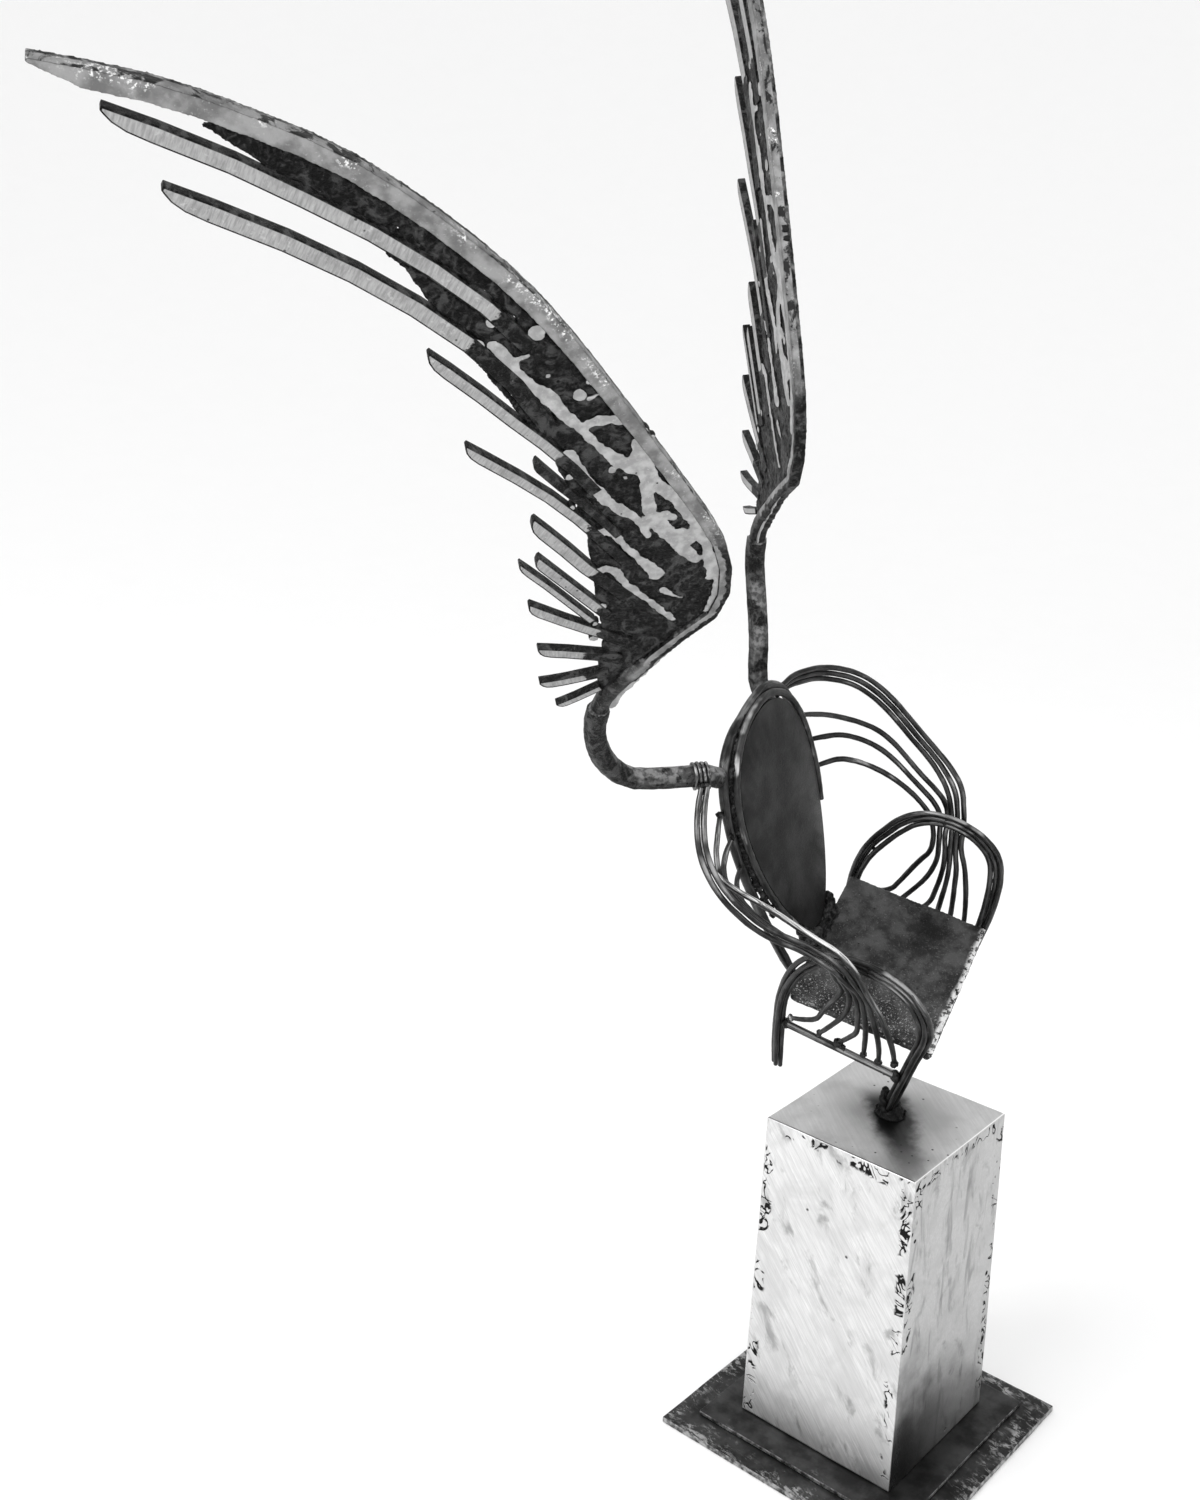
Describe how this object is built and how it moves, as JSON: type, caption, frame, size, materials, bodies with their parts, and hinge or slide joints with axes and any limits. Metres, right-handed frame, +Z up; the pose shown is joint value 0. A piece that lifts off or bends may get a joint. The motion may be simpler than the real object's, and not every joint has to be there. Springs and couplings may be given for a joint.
{
  "type": "winged chair sculpture",
  "caption": "Small welded-steel bentwood-style armchair with open feathered wings, balanced on one leg on a bright hollow plinth and stepped base plates",
  "frame": {"origin": "centre of the lower base plate's underside", "axes": "+Z up, the chair faces -Y, the near wing is towards -X; lengths in metres"},
  "size_m": [0.5785, 0.2791, 0.9366],
  "materials": {
    "base_steel": "dark scratched mill-scale steel",
    "plinth_steel": "bright hand-ground steel with dark weld pits",
    "rod_steel": "darkened steel rod with ground streaks",
    "sheet_steel": "blackened steel sheet with weld spatter",
    "wing_steel": "ground flat bar, dark at the edges",
    "weld_steel": "rough dark weld metal with ground islands"
  },
  "bodies": {
    "root": {"base_plate_lower": "base_steel", "base_plate_upper": "base_steel", "plinth_walls": "plinth_steel", "plinth_top": "plinth_steel", "foot_weld": "weld_steel", "seat_plate": "sheet_steel", "seat_frame": "rod_steel", "back_panel": "sheet_steel", "back_inner_ring": "rod_steel", "back_hoop": "rod_steel", "left_arch_rod_1": "rod_steel", "left_arch_rod_2": "rod_steel", "left_arch_rod_3": "rod_steel", "left_stretcher": "plinth_steel", "left_side_rod_1": "rod_steel", "left_side_rod_2": "rod_steel", "left_side_rod_3": "rod_steel", "left_side_rod_4": "rod_steel", "left_side_rod_5": "rod_steel", "left_side_rod_6": "rod_steel", "left_wing_leading_bar": "wing_steel", "left_wing_web": "weld_steel", "left_wing_feather_1": "wing_steel", "left_wing_feather_2": "wing_steel", "left_wing_feather_3": "wing_steel", "left_wing_feather_4": "wing_steel", "left_wing_feather_5": "wing_steel", "left_wing_feather_6": "wing_steel", "left_wing_feather_7": "wing_steel", "left_wing_feather_8": "wing_steel", "left_wing_feather_9": "wing_steel", "left_wing_feather_10": "wing_steel", "left_wing_feather_11": "wing_steel", "left_wing_feather_12": "wing_steel", "right_arch_rod_1": "rod_steel", "right_arch_rod_2": "rod_steel", "right_arch_rod_3": "rod_steel", "right_stretcher": "plinth_steel", "right_side_rod_1": "rod_steel", "right_side_rod_2": "rod_steel", "right_side_rod_3": "rod_steel", "right_side_rod_4": "rod_steel", "right_side_rod_5": "rod_steel", "right_side_rod_6": "rod_steel", "right_wing_leading_bar": "wing_steel", "right_wing_web": "weld_steel", "right_wing_feather_1": "wing_steel", "right_wing_feather_2": "wing_steel", "right_wing_feather_3": "wing_steel", "right_wing_feather_4": "wing_steel", "right_wing_feather_5": "wing_steel", "right_wing_feather_6": "wing_steel", "right_wing_feather_7": "wing_steel", "right_wing_feather_8": "wing_steel", "right_wing_feather_9": "wing_steel", "right_wing_feather_10": "wing_steel", "right_wing_feather_11": "wing_steel", "right_wing_feather_12": "wing_steel"}
  },
  "joints": []
}
